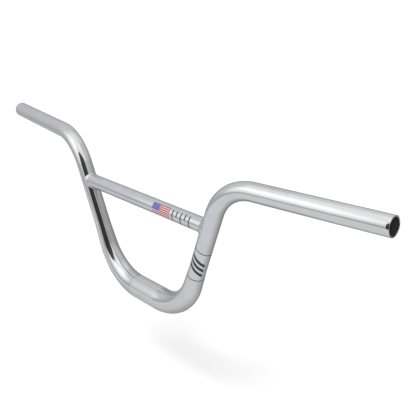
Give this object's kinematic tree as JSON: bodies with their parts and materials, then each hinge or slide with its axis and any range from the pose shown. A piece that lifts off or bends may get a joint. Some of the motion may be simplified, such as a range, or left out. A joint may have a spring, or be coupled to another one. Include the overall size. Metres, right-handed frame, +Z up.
{
  "type": "bmx handlebar",
  "caption": "Bent tube handlebar with a thick tapered stem clamp, tall rising legs, swept-back open-ended grips and a welded crossbar, all chrome plated.",
  "frame": {"origin": "centre of the stem clamp, on the tube's axis", "axes": "+X along the clamp to the rider's left grip, +Y back to the rider, +Z up the rise"},
  "size_m": [0.7262, 0.0486, 0.224],
  "materials": {
    "main_tube": "polished chrome plate",
    "cross_tube": "polished chrome plate",
    "weld_bead": "chrome plate over a weld bead"
  },
  "bodies": {
    "root": {"main_bar": "main_tube", "crossbar": "cross_tube", "left_weld": "weld_bead", "right_weld": "weld_bead"}
  },
  "joints": []
}
